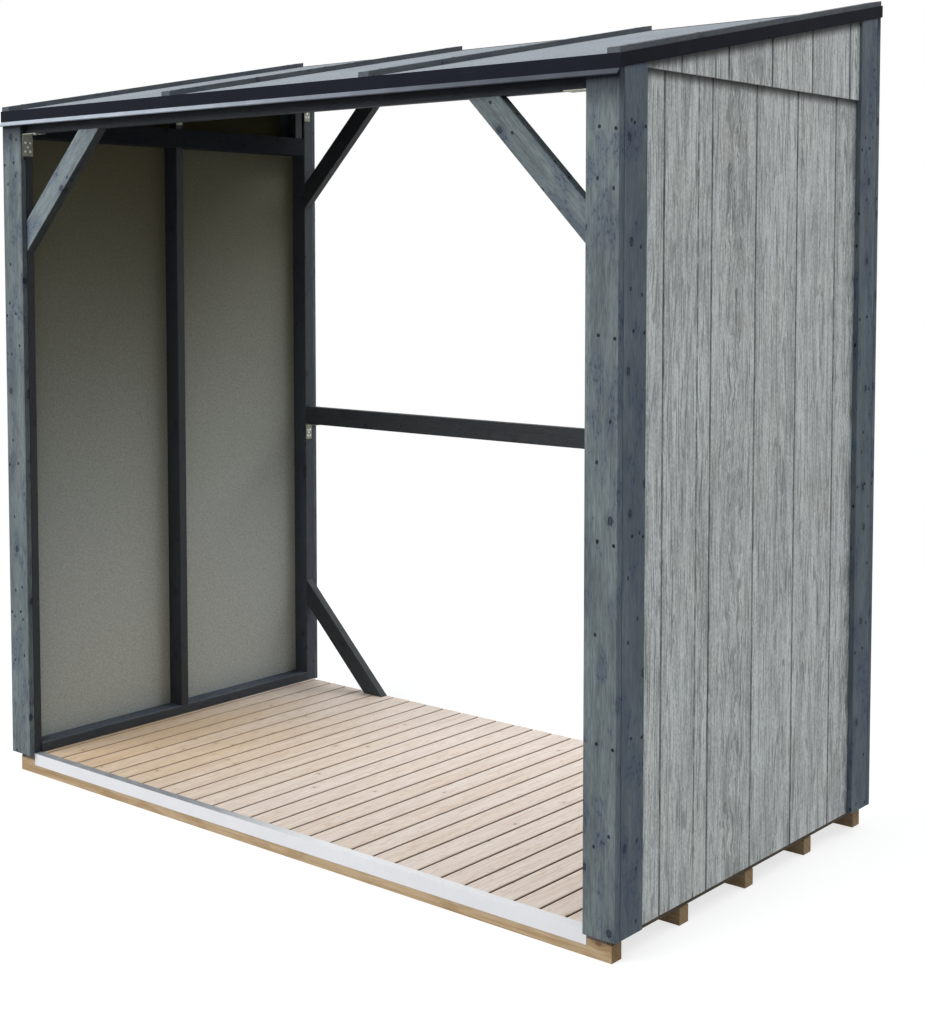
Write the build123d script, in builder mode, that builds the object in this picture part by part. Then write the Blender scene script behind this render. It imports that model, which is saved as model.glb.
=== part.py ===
"""Open-fronted log store with a single-pitch roof, built as separate timber and sheet pieces.

Millimetres, +Z up. The origin is on the ground under the middle of the outer box.
X runs along the length of the store, and Y runs from the open front to the open back.
"""

import os
from math import cos, radians, sin, tan

from build123d import *

os.makedirs("parts", exist_ok=True)

# Whole store, measured over the corner boards
length = 2240.0
depth = 1230.0
pitch = 11.0
eave_top = 2002.0

# Corner boards at the front and back, and the side boards behind them
corner_board_w = 90.0
corner_board_t = 18.0
side_board_w = 90.0
side_board_t = 15.0
board_lap = 3.5
arris = 1.5

# Side walls: grooved panel, gable panel and the frame inside
panel_t = 20.0
panel_lap = 4.5
gable_proud = 8.0
wall_drop = 19.0
frame_d = 60.0
stud_t = 29.0
front_post_t = 24.0
back_post_t = 40.0
rail_h = 60.0
bottom_rail_h = 29.0
rafter_h = 46.0
gable_stud_t = 31.0
gable_stud_gap = 12.0

# Grooves pressed into the panels
groove_pitch = 203.2
groove_first = 198.0
gable_groove_shift = 57.4
groove_w = 8.0
groove_floor_w = 4.0
groove_d = 4.0

# Floor and bearers
bearer_w = 38.0
bearer_h = 41.0
bearer_inset = 21.5
bearer_shares = (0.0, 0.24, 0.5, 0.76, 1.0)
floor_t = 19.5
floor_back_gap = 12.0
floor_board_w = 70.0
floor_board_pitch = 75.4
floor_edge_gap = 3.5
floor_board_least = 20.0

# Threshold angle along the front edge of the floor
threshold_t = 1.5
threshold_h = 34.7

# Headers, purlin and back rail
front_header_h = 50.5
back_header_h = 99.5
purlin_h = 59.0
header_t = 29.0
back_rail_z = 980.0
back_rail_h = 61.0

# Corner braces, measured along their middle line
brace_t = 29.0
brace_angle = 45.0
front_brace_w = 67.0
front_brace_run = 301.0
back_brace_w = 60.0
back_upper_brace_run = 327.0
back_lower_brace_run = 319.0

# Angle brackets in the corners
bracket_t = 2.5
bracket_leg = 66.0
bracket_w = 36.0
rail_bracket_leg = 54.0
rail_bracket_w = 26.0
purlin_bracket_leg = 41.0
bracket_setback = 6.0
bracket_hole_r = 2.6
hole_along_shares = (0.40, 0.78)
hole_across_shares = (0.27, 0.73)

# Roof covering and edge trims
deck_t = 18.0
felt_t = 3.0
batten_w = 34.0
batten_t = 14.0
batten_count = 4
trim_t = 3.0
trim_rise = 1.5
verge_h = 31.0
eave_face_h = 33.0
kick_out = 14.0
kick_angle = 45.0
right_angle = 90.0

# Derived levels
floor_top = bearer_h + floor_t
board_bottom = floor_top - board_lap
panel_bottom = floor_top - panel_lap
wall_top = eave_top - wall_drop
slope = tan(radians(pitch))
deck_rise = deck_t / cos(radians(pitch))
felt_rise = felt_t / cos(radians(pitch))
batten_rise = batten_t / cos(radians(pitch))

# Derived faces, as distances from the middle in X and as places in Y
half = length / 2
panel_out = half - side_board_t
panel_in = panel_out - panel_t
frame_in = panel_in - frame_d
post_in = half - corner_board_w
rafter_in = frame_in + gable_stud_t
front = (kick_out - depth - trim_t) / 2
back = front + depth
front_post_y = front + corner_board_t
front_post_back = front_post_y + front_post_t
back_board_y = back - corner_board_t
back_post_y = back_board_y - back_post_t
side_front_end = front_post_y + side_board_w
side_back_start = back_board_y - side_board_w
mid_stud_y = (front_post_back + back_post_y - stud_t) / 2
rear_stud_y = back_post_y - gable_stud_gap - stud_t


def felt_z(y):
    """Height of the felt's upper face at a place y."""
    return eave_top + slope * (y - front)


def deck_z(y):
    """Height of the deck's underside at a place y, where posts and headers stop."""
    return felt_z(y) - felt_rise - deck_rise


def low_x(side, near, far):
    """Lower X of a piece that lies between two distances from the middle, on one side."""
    return near if side > 0 else -far


def block(x, y, z, dx, dy, dz):
    """Adds one square-cut timber from its lower corner and its three sizes."""
    with Locations((x, y, z)):
        Box(dx, dy, dz, align=(Align.MIN, Align.MIN, Align.MIN))


def upright(x, y, z, dx, dy):
    """Adds one piece that rises from z to the deck, its head cut to the roof's pitch."""
    with BuildSketch(Plane.YZ.offset(x)) as profile:
        with BuildLine():
            Polyline((y, z), (y + dy, z), (y + dy, deck_z(y + dy)), (y, deck_z(y)), close=True)
        make_face()
    extrude(profile.sketch, amount=dx)


def pitched(x, dx, y0, y1, low, high):
    """Adds one layer that follows the pitch, between two rises above the felt's face."""
    with BuildSketch(Plane.YZ.offset(x)) as profile:
        with BuildLine():
            Polyline(
                (y0, felt_z(y0) + low),
                (y1, felt_z(y1) + low),
                (y1, felt_z(y1) + high),
                (y0, felt_z(y0) + high),
                close=True,
            )
        make_face()
    extrude(profile.sketch, amount=dx)


def groove(side, face, y, z, height):
    """Cuts one pressed groove with sloping sides into a panel's outer face."""
    with BuildSketch(Plane.XY.offset(z)) as profile:
        with BuildLine():
            Polyline(
                (side * face, y - groove_w / 2),
                (side * (face - groove_d), y - groove_floor_w / 2),
                (side * (face - groove_d), y + groove_floor_w / 2),
                (side * face, y + groove_w / 2),
                close=True,
            )
        make_face()
    extrude(profile.sketch, amount=height, mode=Mode.SUBTRACT)


def groove_places(first, last):
    """Places in Y of the grooves from the first one up to a panel's rear edge."""
    return [first + index * groove_pitch for index in range(int((last - first) // groove_pitch) + 1)]


def brace(side, y, face, level, run, width, rise):
    """Adds one diagonal brace from a post's face to a level, cut flush at both ends."""
    angle = radians(brace_angle)
    post_half = width / (2 * cos(angle))
    level_half = width / (2 * sin(angle))
    post_z = level - rise * run * tan(angle)
    with BuildSketch(Plane.XZ.offset(-y - brace_t)) as profile:
        with BuildLine():
            Polyline(
                (side * face, post_z - rise * post_half),
                (side * face, post_z + rise * post_half),
                (side * (face - run + level_half), level),
                (side * (face - run - level_half), level),
                close=True,
            )
        make_face()
    extrude(profile.sketch, amount=brace_t)


def bracket(side, y, face, level, leg, width):
    """Adds one bent angle bracket, punched for nails, under a timber and against a post."""
    with BuildSketch(Plane.XZ.offset(-y - width)) as profile:
        with BuildLine():
            Polyline(
                (side * face, level),
                (side * face, level - leg),
                (side * (face - bracket_t), level - leg),
                (side * (face - bracket_t), level - bracket_t),
                (side * (face - leg), level - bracket_t),
                (side * (face - leg), level),
                close=True,
            )
        make_face()
    extrude(profile.sketch, amount=width)
    hole_ys = [y + share * width for share in hole_across_shares]
    drops = [share * leg for share in hole_along_shares]
    with BuildSketch(Plane.YZ.offset(side * face)) as post_holes:
        with Locations(*[(hole_y, level - drop) for hole_y in hole_ys for drop in drops]):
            Circle(bracket_hole_r)
    extrude(post_holes.sketch, amount=bracket_t, both=True, mode=Mode.SUBTRACT)
    with BuildSketch(Plane.XY.offset(level)) as head_holes:
        with Locations(*[(side * (face - drop), hole_y) for hole_y in hole_ys for drop in drops]):
            Circle(bracket_hole_r)
    extrude(head_holes.sketch, amount=bracket_t, both=True, mode=Mode.SUBTRACT)


def save(piece, name):
    """Names a finished piece and writes its file."""
    piece.label = name
    export_step(piece, f"parts/{name}.step")


# Bearers under the floor, the end ones flush with the posts' outer faces
first_bearer = front_post_y
bearer_run = back_board_y - bearer_w - first_bearer
with BuildPart() as bearers:
    for share in bearer_shares:
        bearer_y = first_bearer + share * bearer_run
        block(-half + bearer_inset, bearer_y, 0, length - 2 * bearer_inset, bearer_w, bearer_h)
save(bearers.part, "bearers")

# Floor boards from front to back, the last one ripped to fit
floor_start = -panel_in + floor_edge_gap
floor_run = back_board_y - floor_back_gap - front_post_y
board_count = int((panel_in - floor_start - floor_board_least) // floor_board_pitch) + 1
with BuildPart() as floor_boards:
    for index in range(board_count):
        board_x = floor_start + index * floor_board_pitch
        board_w = min(floor_board_w, panel_in - board_x)
        block(board_x, front_post_y, bearer_h, board_w, floor_run, floor_t)
    chamfer(floor_boards.edges().filter_by(Axis.Y).group_by(Axis.Z)[-1], arris)
save(floor_boards.part, "floor_boards")

# Threshold angle over the floor's front edge, as wide as the posts beside it
with BuildPart() as threshold_trim:
    with BuildSketch(Plane.YZ.offset(-post_in)):
        with BuildLine():
            Polyline(
                (front_post_y, floor_top - threshold_h),
                (front_post_y, floor_top),
                (front_post_back, floor_top),
                (front_post_back, floor_top + threshold_t),
                (front_post_y - threshold_t, floor_top + threshold_t),
                (front_post_y - threshold_t, floor_top - threshold_h),
                close=True,
            )
        make_face()
    extrude(amount=2 * post_in)
save(threshold_trim.part, "threshold_trim")

# Side walls, built the same on both sides
for name, side in (("left", -1), ("right", 1)):
    frame_x = low_x(side, frame_in, panel_in)
    corner_x = low_x(side, post_in, half)
    side_x = low_x(side, panel_out, half)
    wall_run = back_post_y - front_post_back

    # Posts, rails and middle stud of the frame
    with BuildPart() as front_post:
        upright(low_x(side, post_in, panel_in), front_post_y, floor_top, panel_in - post_in, front_post_t)
    save(front_post.part, f"front_post_{name}")

    with BuildPart() as back_post:
        upright(frame_x, back_post_y, floor_top, frame_d, back_post_t)
        chamfer(back_post.edges().filter_by(Axis.Z), arris)
    save(back_post.part, f"back_post_{name}")

    with BuildPart() as bottom_rail:
        block(frame_x, front_post_back, floor_top, frame_d, wall_run, bottom_rail_h)
        chamfer(bottom_rail.edges().filter_by(Axis.Y).group_by(Axis.Z)[-1], arris)
    save(bottom_rail.part, f"bottom_rail_{name}")

    with BuildPart() as top_rail:
        block(frame_x, front_post_back, wall_top - rail_h, frame_d, wall_run, rail_h)
        chamfer(top_rail.edges().filter_by(Axis.Y).group_by(Axis.Z)[0], arris)
    save(top_rail.part, f"top_rail_{name}")

    stud_z = floor_top + bottom_rail_h
    with BuildPart() as mid_stud:
        block(frame_x, mid_stud_y, stud_z, frame_d, stud_t, wall_top - rail_h - stud_z)
        chamfer(mid_stud.edges().filter_by(Axis.Z), arris)
    save(mid_stud.part, f"mid_stud_{name}")

    # Rafter with its tail planed down to the top rail, and the short studs beside it
    rafter_w = panel_in + gable_proud - rafter_in
    tail_y = front + (wall_top + rafter_h + felt_rise + deck_rise - eave_top) / slope
    with BuildPart() as gable_rafter:
        with BuildSketch(Plane.YZ.offset(low_x(side, rafter_in, rafter_in + rafter_w))):
            with BuildLine():
                Polyline(
                    (front_post_back, wall_top),
                    (tail_y, wall_top),
                    (back_post_y, deck_z(back_post_y) - rafter_h),
                    (back_post_y, deck_z(back_post_y)),
                    (front_post_back, deck_z(front_post_back)),
                    close=True,
                )
            make_face()
        extrude(amount=rafter_w)
    save(gable_rafter.part, f"gable_rafter_{name}")

    with BuildPart() as gable_studs:
        for stud_y in (mid_stud_y, rear_stud_y):
            upright(low_x(side, frame_in, rafter_in), stud_y, wall_top, gable_stud_t, stud_t)
    save(gable_studs.part, f"gable_studs_{name}")

    # Wall panel, and the gable panel that stands proud above it
    with BuildPart() as side_panel:
        panel_x = low_x(side, panel_in, panel_out)
        panel_run = back_board_y - front_post_y
        block(panel_x, front_post_y, panel_bottom, panel_t, panel_run, wall_top - panel_bottom)
        for groove_y in groove_places(front + groove_first, side_back_start):
            groove(side, panel_out, groove_y, panel_bottom, wall_top - panel_bottom)
    save(side_panel.part, f"side_panel_{name}")

    gable_out = panel_out + gable_proud
    with BuildPart() as gable_panel:
        gable_x = low_x(side, gable_out - panel_t, gable_out)
        upright(gable_x, side_front_end, wall_top, panel_t, side_back_start - side_front_end)
        for groove_y in groove_places(front + groove_first + gable_groove_shift, side_back_start):
            groove(side, gable_out, groove_y, wall_top, deck_z(back) - wall_top)
    save(gable_panel.part, f"gable_panel_{name}")

    # Boards that cover the corners
    with BuildPart() as front_board:
        upright(corner_x, front, board_bottom, corner_board_w, corner_board_t)
        chamfer(front_board.edges().filter_by(Axis.Z), arris)
    save(front_board.part, f"front_board_{name}")

    with BuildPart() as back_board:
        upright(corner_x, back_board_y, board_bottom, corner_board_w, corner_board_t)
        chamfer(back_board.edges().filter_by(Axis.Z), arris)
    save(back_board.part, f"back_board_{name}")

    with BuildPart() as side_front_board:
        upright(side_x, front_post_y, board_bottom, side_board_t, side_board_w)
        chamfer(side_front_board.edges().filter_by(Axis.Z), arris)
    save(side_front_board.part, f"side_front_board_{name}")

    with BuildPart() as side_back_board:
        upright(side_x, side_back_start, board_bottom, side_board_t, side_board_w)
        chamfer(side_back_board.edges().filter_by(Axis.Z), arris)
    save(side_back_board.part, f"side_back_board_{name}")

# Headers and purlin, their tops planed to the pitch
front_header_z = deck_z(front_post_y) - front_header_h
back_header_z = deck_z(back_post_y) - back_header_h
purlin_z = deck_z(mid_stud_y) - purlin_h

with BuildPart() as front_header:
    upright(-post_in, front_post_y, front_header_z, 2 * post_in, front_post_t)
save(front_header.part, "front_header")

with BuildPart() as back_header:
    upright(-frame_in, back_post_y, back_header_z, 2 * frame_in, header_t)
save(back_header.part, "back_header")

with BuildPart() as roof_purlin:
    upright(-frame_in, mid_stud_y, purlin_z, 2 * frame_in, stud_t)
save(roof_purlin.part, "roof_purlin")

with BuildPart() as back_rail:
    block(-frame_in, back_post_y, back_rail_z, 2 * frame_in, header_t, back_rail_h)
    chamfer(back_rail.edges().filter_by(Axis.X), arris)
save(back_rail.part, "back_rail")

# Diagonal braces in pairs, the long edges eased
with BuildPart() as front_braces:
    for side in (-1, 1):
        brace(side, front_post_y, post_in, front_header_z, front_brace_run, front_brace_w, 1)
    chamfer(front_braces.edges().sort_by(SortBy.LENGTH)[-8:], arris)
save(front_braces.part, "front_braces")

with BuildPart() as back_upper_braces:
    for side in (-1, 1):
        brace(side, back_post_y, frame_in, back_header_z, back_upper_brace_run, back_brace_w, 1)
    chamfer(back_upper_braces.edges().sort_by(SortBy.LENGTH)[-8:], arris)
save(back_upper_braces.part, "back_upper_braces")

with BuildPart() as back_lower_braces:
    for side in (-1, 1):
        brace(side, back_post_y, frame_in, floor_top, back_lower_brace_run, back_brace_w, -1)
    chamfer(back_lower_braces.edges().sort_by(SortBy.LENGTH)[-8:], arris)
save(back_lower_braces.part, "back_lower_braces")

# Bent angle brackets in the corners of the frame
with BuildPart() as front_brackets:
    for side in (-1, 1):
        bracket(side, front + bracket_setback, post_in, front_header_z, bracket_leg, bracket_w)
save(front_brackets.part, "front_brackets")

with BuildPart() as purlin_brackets:
    for side in (-1, 1):
        bracket(side, mid_stud_y, frame_in, purlin_z, purlin_bracket_leg, rail_bracket_w)
save(purlin_brackets.part, "purlin_brackets")

with BuildPart() as back_brackets:
    for side in (-1, 1):
        bracket(side, back_post_y, frame_in, back_header_z, bracket_leg, rail_bracket_w)
        bracket(side, back_post_y, frame_in, back_rail_z, rail_bracket_leg, rail_bracket_w)
save(back_brackets.part, "back_brackets")

# Roof deck, felt and battens
with BuildPart() as roof_deck:
    pitched(-half, length, front, back, -felt_rise - deck_rise, -felt_rise)
save(roof_deck.part, "roof_deck")

with BuildPart() as roof_felt:
    pitched(-half, length, front, back, -felt_rise, 0)
save(roof_felt.part, "roof_felt")

batten_pitch = (length - batten_w) / (batten_count - 1)
with BuildPart() as roof_battens:
    for index in range(batten_count):
        pitched(-half + index * batten_pitch, batten_w, front, back, 0, batten_rise)
save(roof_battens.part, "roof_battens")

# Eave trim with its outward drip, folded from one sheet
kick = kick_out - trim_t
kick_drop = kick * tan(radians(kick_angle))
eave_head = eave_top + trim_rise
eave_foot = eave_head - eave_face_h
bend = trim_t * tan(radians((right_angle - kick_angle) / 2))
lip_y = trim_t * sin(radians(kick_angle))
lip_z = trim_t * cos(radians(kick_angle))
with BuildPart() as eave_trim:
    with BuildSketch(Plane.YZ.offset(-half)):
        with BuildLine():
            Polyline(
                (front, eave_head),
                (front - trim_t, eave_head),
                (front - trim_t, eave_foot),
                (front - trim_t - kick, eave_foot - kick_drop),
                (front - trim_t - kick + lip_y, eave_foot - kick_drop - lip_z),
                (front, eave_foot - bend),
                close=True,
            )
        make_face()
    extrude(amount=length)
save(eave_trim.part, "eave_trim")

# Verge and back trims cover the cut edges of the deck
with BuildPart() as verge_trims:
    for side in (-1, 1):
        verge_x = low_x(side, half, half + trim_t)
        pitched(verge_x, trim_t, front - trim_t, back + trim_t, trim_rise - verge_h, trim_rise)
save(verge_trims.part, "verge_trims")

back_head = felt_z(back) + trim_rise
with BuildPart() as back_trim:
    block(-half, back, back_head - verge_h, length, trim_t, verge_h)
save(back_trim.part, "back_trim")
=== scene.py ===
"""Finishes, fixings and studio for an open log store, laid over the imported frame."""

import math

import bpy
import numpy as np
from bpy.props import FloatProperty, FloatVectorProperty, IntProperty, PointerProperty
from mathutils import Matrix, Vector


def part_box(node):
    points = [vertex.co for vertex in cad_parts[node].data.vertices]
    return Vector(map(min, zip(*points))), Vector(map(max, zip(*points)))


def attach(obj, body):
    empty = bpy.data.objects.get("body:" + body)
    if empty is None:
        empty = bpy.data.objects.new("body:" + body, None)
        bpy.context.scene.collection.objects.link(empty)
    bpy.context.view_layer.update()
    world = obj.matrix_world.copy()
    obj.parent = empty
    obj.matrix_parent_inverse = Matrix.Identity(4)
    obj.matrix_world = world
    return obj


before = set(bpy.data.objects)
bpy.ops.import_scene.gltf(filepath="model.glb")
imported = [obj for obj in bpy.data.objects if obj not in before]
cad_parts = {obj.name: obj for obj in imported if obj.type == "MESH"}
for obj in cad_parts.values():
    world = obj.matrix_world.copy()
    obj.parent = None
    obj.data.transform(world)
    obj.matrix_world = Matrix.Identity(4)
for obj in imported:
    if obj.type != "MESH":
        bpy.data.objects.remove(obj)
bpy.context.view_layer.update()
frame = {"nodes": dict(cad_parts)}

bl_info = {
    "name": "Log Store Finisher",
    "version": (1, 0, 0),
    "blender": (4, 5, 0),
    "location": "3D View > Sidebar > Log Store",
    "description": "Finishes an open log store: stained timber, pressed walls, decking, felt and trims",
    "category": "Object",
}

SIDES = {"left": -1.0, "right": 1.0}
ROOF_PITCH = math.radians(11)
ROOF_SINE, ROOF_COSINE, ROOF_SLOPE = math.sin(ROOF_PITCH), math.cos(ROOF_PITCH), math.tan(ROOF_PITCH)
HALF_SQUARE = math.sqrt(0.5)

# Pressed walls and gables: the first joint, and how far out the bare inner skin reaches
WALL_JOINT, GABLE_JOINT = -0.4115, -0.3541
WALL_SKIN, GABLE_SKIN = 1.098, 1.106
ODD_LINE = 0.1435  # from the first joint to the one pressed line off the even pitch
BOARD_FACE = 1.1195  # further than this from the middle, a corner board shows on the side wall
ON_FACE = 0.0006  # a point this near to a face lies on it
WALL_BLUE, CROSS_BLUE = 0.70, 0.55  # blue cast of the timbers in the walls and between them
BATTENS, BATTEN_WIDTH, BATTEN_END = 4, 0.034, 0.06  # how many, how wide, and their first nail from the end
STRIP_WIDTH, STRIP_INSET = 0.0112, 0.0004  # a sole strip's width, and its inset from the panel's inner face

# Each run of timber: the direction across its grain on any of its faces, and the direction along it
RUNS = {
    "upright": ((1, 1, 0), (0, 0, 1)),
    "lengthwise": ((0, 1, 1), (1, 0, 0)),
    "front_to_back": ((1, 0, 1), (0, 1, 0)),
    "pitched": ((1, -ROOF_SINE, ROOF_COSINE), (0, ROOF_COSINE, ROOF_SINE)),
    "rising_inwards": ((HALF_SQUARE, 1, HALF_SQUARE), (-HALF_SQUARE, 0, HALF_SQUARE)),
    "rising_outwards": ((-HALF_SQUARE, 1, HALF_SQUARE), (HALF_SQUARE, 0, HALF_SQUARE)),
}


def both(*places):
    """The names of like nodes, first all on the left side and then all on the right."""
    return [f"{place}_{side}" for side in SIDES for place in places]


CORNER_BOARDS = both("front_board", "back_board", "side_front_board", "side_back_board")
WALL_UPRIGHTS = both("front_post", "mid_stud", "back_post", "gable_studs")
WALL_RAILS = both("bottom_rail", "top_rail")
GABLE_RAFTERS = both("gable_rafter")
CROSS_TIMBERS = ["front_header", "back_header", "roof_purlin", "back_rail"]


def colour(name, description, default):
    """A colour that the user can change."""
    return FloatVectorProperty(
        name=name, description=description, default=default, size=3, min=0, max=1, subtype="COLOR")


def number(**limits):
    """A kind of number that the user can change, with its limits and its unit or subtype."""
    def made(name, description, default):
        return FloatProperty(name=name, description=description, default=default, **limits)
    return made


length = number(min=0, unit="LENGTH")
power = number(min=0, unit="POWER")
angle = number(subtype="ANGLE")
share = number(min=0, max=1, subtype="FACTOR")
factor = number(min=0)


class StainLook(bpy.types.PropertyGroup):
    """Slate blue stain over sawn softwood."""

    light: colour("Light stain", "Stain where the wood took little of it", (0.141, 0.169, 0.174))
    deep: colour("Deep stain", "Stain where the wood took most of it", (0.089, 0.106, 0.115))
    bruise: colour("Blue blotch", "Blue cast round knots and scuffs", (0.064, 0.083, 0.121))
    knot: colour("Knot", "Stained knot", (0.017, 0.024, 0.040))
    # Also the colour of the painted shade under the eave and back trim on the corner boards.
    mark: colour("Pin mark", "Pin knots and pitch marks", (0.006, 0.009, 0.018))
    knot_width: length("Knot width", "Half width of a round knot", 0.0074)
    relief: length("Grain relief", "Height of the raised grain", 0.0006)
    # The frame's stain is darker than the boards' as painted shade for the frame under the roof.
    frame: share("Frame tone", "How light the frame's stain is beside the boards'", 0.20)
    # Side blue and side tone give the side-facing boards a bluer, lighter copy of the stain: painted light.
    side_blue: share("Side board blue", "Blue cast of the boards on the side walls", 0.38)
    front_tone: factor("Front tone", "How light the front boards and braces are", 1.21)
    side_tone: factor("Side tone", "How light the boards on the side walls are", 1.62)
    sheen: share("Board sheen", "Gloss of the stain on the boards", 0.20)


class PanelLook(bpy.types.PropertyGroup):
    """Pressed wall panel: painted wood grain outside, bare fibreboard inside."""

    paint: colour("Paint", "Pale grey paint", (0.815, 0.838, 0.816))
    cool: colour("Cool paint", "Paint where it has a blue cast", (0.810, 0.838, 0.840))
    shade: colour("Shaded grain", "Paint lying in the pressed grain", (0.235, 0.252, 0.250))
    # Grime in the joints; at half strength also the colour of the painted shadow under the covering edge.
    groove_grime_and_lap_shadow: colour("Groove", "Grime in the pressed joints", (0.150, 0.160, 0.155))
    fibre: colour("Fibreboard", "Bare inner face", (0.545, 0.578, 0.555))
    # Painted shade: the inner face darkens to this olive towards the top and beside the studs.
    fibre_shade: colour("Dull fibreboard", "Olive cast of the inner face under the roof", (0.126, 0.110, 0.030))
    fibre_dark: colour("Fibre fleck", "Dark fibres of the inner face", (0.375, 0.398, 0.375))
    pitch: length("Joint pitch", "Distance between pressed joints", 0.2032)
    relief: length("Grain relief", "Depth of the pressed grain", 0.0012)


class FloorLook(bpy.types.PropertyGroup):
    """Planed floor boards, painted warmer towards the left wall as painted shade, and paler elsewhere."""

    # The boards shift from pale to warm towards the left wall: painted shade.
    pale: colour("Pale board", "Bleached sapwood", (0.800, 0.700, 0.630))
    warm: colour("Warm board", "Fresh sapwood", (0.660, 0.490, 0.320))
    grain: colour("Grain line", "Late wood", (0.520, 0.345, 0.245))
    knot: colour("Knot", "Brown knot", (0.330, 0.190, 0.105))
    # Painted shade in the gaps: the colour of the boards' sides below their top.
    edge: colour("Board edge", "Dull sawn edge in the gaps", (0.070, 0.038, 0.022))
    start: length("First gap", "Distance of the first board's gap from the middle", 1.0842)
    pitch: length("Board pitch", "Board and gap together", 0.0754)


class BearerLook(bpy.types.PropertyGroup):
    """Sawn bearers of tan softwood."""

    sapwood: colour("Sapwood", "Main tone", (0.545, 0.400, 0.245))
    heartwood: colour("Heartwood", "Darker bands", (0.290, 0.165, 0.060))
    knot: colour("Knot", "Brown knot", (0.180, 0.095, 0.045))
    strip: share("Sole strip tone", "How light the sole strips are beside the bearers", 0.16)


class RoofLook(bpy.types.PropertyGroup):
    """Felt dressed with mineral granules, over a board deck."""

    felt: colour("Granules", "Main tone of the granules", (0.290, 0.315, 0.345))
    felt_dark: colour("Dark granules", "Scattered darker granules", (0.090, 0.098, 0.112))
    deck: colour("Deck", "Boards seen from below", (0.120, 0.112, 0.100))
    granule: length("Granule", "Size of one granule", 0.0022)
    board: length("Deck board", "Width of one deck board", 0.096)


class TrimLook(bpy.types.PropertyGroup):
    """Coated sheet trims and galvanised brackets."""

    dark: colour("Dark coat", "Blue black coat of the roof trims", (0.0105, 0.0123, 0.0200))
    scratch: colour("Scratch", "Fine scratches in the dark coat", (0.5, 0.5, 0.5))
    # Painted reflection: the pale tone of the eave's drip hem.
    hem: colour("Zinc hem", "Bare hem of the eave's drip", (0.405, 0.445, 0.510))
    hem_height: length("Hem height", "Height of the bare hem", 0.0135)
    white: colour("White coat", "Coat of the threshold", (0.860, 0.862, 0.885))
    # Colour of the threshold's top face, darker than its front.
    top_grey: colour("Threshold top", "Trodden top of the threshold", (0.250, 0.264, 0.285))
    zinc: colour("Zinc", "Dull plate of the brackets", (0.310, 0.320, 0.258))
    nail: colour("Bracket nail", "Bright nail heads", (0.880, 0.885, 0.880))


class FixingSizes(bpy.types.PropertyGroup):
    """Nail heads on boards, battens and brackets."""

    head: length("Board nail head", "Diameter of a board nail's head", 0.0084)
    rise: length("Head rise", "How far a head stands over its board", 0.0010)
    sink: length("Head sink", "How far a head goes into its board", 0.0004)
    pairs: IntProperty(name="Pairs", description="Pairs of nails up each board", default=4, min=1)
    spacing: length("Nail spacing", "Distance between pairs of nails up a board", 0.4514)
    first: length("Lowest pair", "Height of the lowest pair of nails", 0.4956)
    drop: length("First drop", "How far the first nail of a pair sits below the second", 0.0060)
    edge: length("Outer nail", "Distance of the first nail from the board's outer edge", 0.0100)
    inner: length("Inner nail", "Distance of the second nail from the board's outer edge", 0.0534)
    side_edge: length("Side first nail", "Distance of the first nail from a side board's inner edge", 0.0085)
    side_inner: length("Side second nail", "Distance of the second nail from that edge", 0.0510)
    side_lift: length("Side lift", "How much higher the side boards' nails sit", 0.0090)
    batten_count: IntProperty(name="Batten nails", description="Nails along each batten", default=5, min=2)
    bracket_head: length("Bracket nail head", "Diameter of a bracket nail's head", 0.0078)
    plate: length("Bracket plate", "Thickness of a bracket's plate", 0.0025)
    steel: colour("Stained head", "Head stained with its board", (0.012, 0.013, 0.017))


class StageLook(bpy.types.PropertyGroup):
    """Camera, lamps and floor."""

    camera: FloatVectorProperty(name="Camera", description="Place of the camera", subtype="XYZ",
                                default=(3.1538, -3.5583, 1.5667), unit="LENGTH")
    turn: angle("Turn", "Camera's turn to the left", 0.69777)
    tilt: angle("Tilt", "Camera's tilt down", math.radians(3.477))
    lens: number(min=1)("Lens", "Focal length in millimetres", 58.289)
    shift: number()("Shift", "Upright shift of the lens", -0.15)
    sky: colour("Sky", "Colour of the even light", (0.93, 0.98, 1.0))
    sky_strength: factor("Even light", "Strength of the light from above", 0.50)
    key_power: power("Key lamp", "Power of the large front lamp", 1750)
    back_power: power("Back lamp", "Power of the large back lamp", 850)
    lamp_distance: length("Lamp distance", "Distance of the lamps from the store", 14.0)
    floor: colour("Floor", "Pale floor", (0.82, 0.82, 0.82))
    floor_bounce: colour("Floor bounce", "Tone of the floor for light that it throws back", (0.14, 0.14, 0.14))


class LogStoreSettings(bpy.types.PropertyGroup):
    """All that a user would change on the log store."""

    stain: PointerProperty(type=StainLook)
    panel: PointerProperty(type=PanelLook)
    floor: PointerProperty(type=FloorLook)
    bearer: PointerProperty(type=BearerLook)
    roof: PointerProperty(type=RoofLook)
    trim: PointerProperty(type=TrimLook)
    fixing: PointerProperty(type=FixingSizes)
    stage: PointerProperty(type=StageLook)


def worked(operation, turned=False):
    """A method that adds the node for one sum, its two numbers the other way round if turned."""
    def method(self, other=0.0):
        return self.nodes.math(operation, *((other, self) if turned else (self, other)))
    return method


class Field:
    """A number, colour or place that varies over a surface. Sums on it read as usual and become nodes."""

    def __init__(self, nodes, socket):
        self.nodes, self.socket = nodes, socket

    __add__ = __radd__ = worked("ADD")
    __sub__ = worked("SUBTRACT")
    __rsub__ = worked("SUBTRACT", turned=True)
    __mul__ = __rmul__ = worked("MULTIPLY")
    __truediv__ = worked("DIVIDE")
    __gt__ = worked("GREATER_THAN")
    __lt__ = worked("LESS_THAN")
    __abs__ = worked("ABSOLUTE")

    def span(self, low, high, to_low=0.0, to_high=1.0):
        """A smooth step from one number to another while this goes from low to high."""
        inputs = dict(enumerate((self, low, high, to_low, to_high)))
        return self.nodes.out(self.nodes.node("MapRange", inputs, interpolation_type="SMOOTHSTEP"))


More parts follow.
